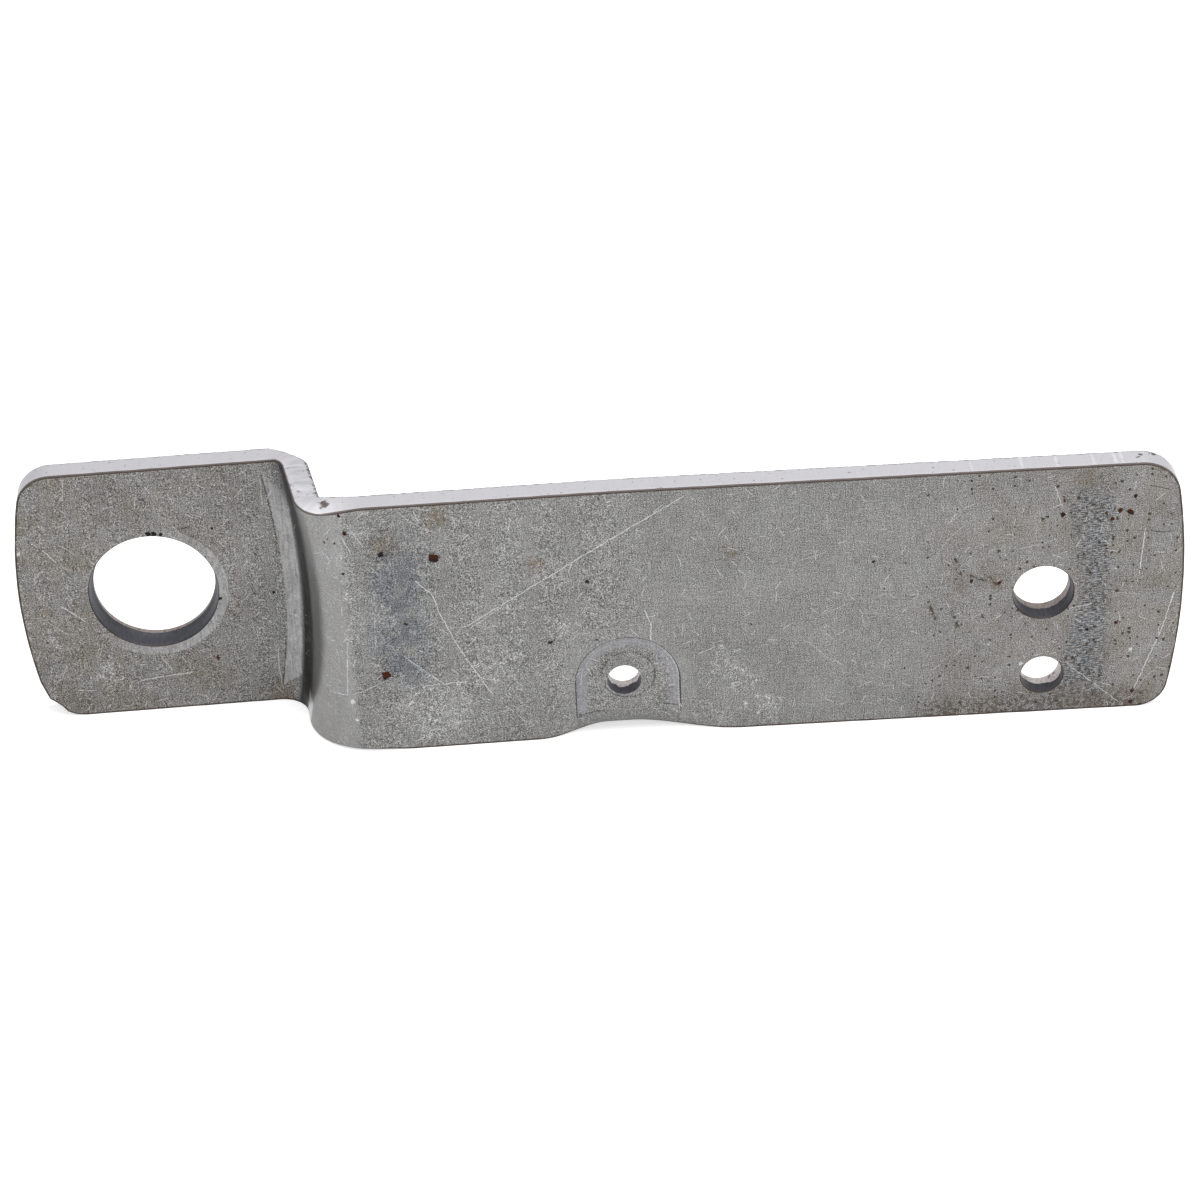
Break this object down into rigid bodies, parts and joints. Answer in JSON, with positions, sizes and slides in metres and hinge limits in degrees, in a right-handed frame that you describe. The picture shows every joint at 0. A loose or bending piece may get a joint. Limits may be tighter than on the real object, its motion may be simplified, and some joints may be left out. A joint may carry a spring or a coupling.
{
  "type": "idler pivot bracket",
  "caption": "Joggled flat steel bracket that carries an idler pulley: large pivot hole in an offset tab, bolt hole and small hole at the other end, pressed lug with a hole.",
  "frame": {"origin": "centre of the bracket's box, on the level of its long lower edge, which it stands on", "axes": "+X along the strip towards the idler bolt hole, -Y out of the front of the main plate, +Z across the strip, up"},
  "size_m": [0.2074, 0.0234, 0.0511],
  "materials": {
    "steel": "bare mill-finish strip steel, dull grey with fine scratches, small rust spots and paler sheared edges"
  },
  "bodies": {
    "root": {"idler_pivot_bracket": "steel"}
  },
  "joints": []
}
